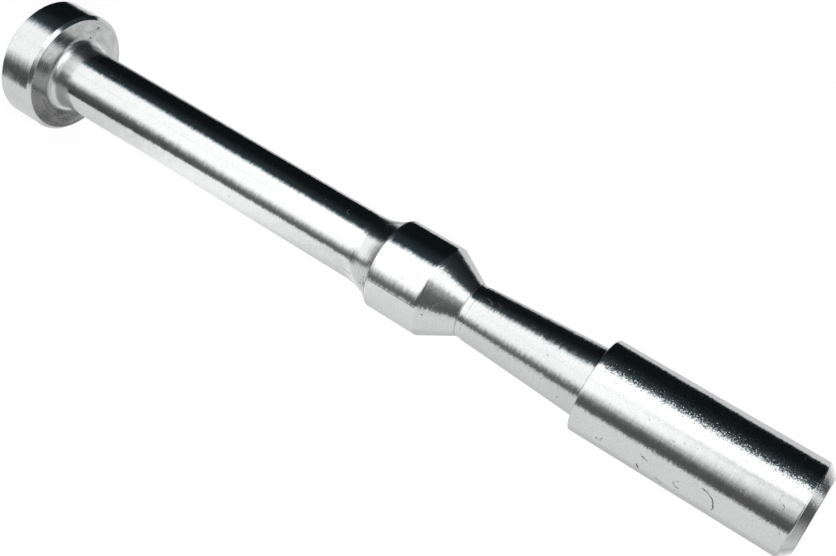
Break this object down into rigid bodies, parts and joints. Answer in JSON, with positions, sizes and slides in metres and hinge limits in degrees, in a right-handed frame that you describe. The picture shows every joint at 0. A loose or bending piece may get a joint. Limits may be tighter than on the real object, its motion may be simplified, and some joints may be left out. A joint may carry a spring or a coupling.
{
  "type": "nibbler punch",
  "caption": "One-piece turned steel nibbler punch: disc head, long slim shank, flared guide collar, cone, waisted neck and a round cutting end with a chamfered tip.",
  "frame": {"origin": "centre of the head's flat back face, on which the punch stands", "axes": "+Z along the punch's axis, from the head to the cutting end; X and Y are free, because the punch is turned"},
  "size_m": [0.0114, 0.0114, 0.0786],
  "materials": {
    "ground_steel": "ground"
  },
  "bodies": {
    "root": {"punch": "ground_steel"}
  },
  "joints": []
}
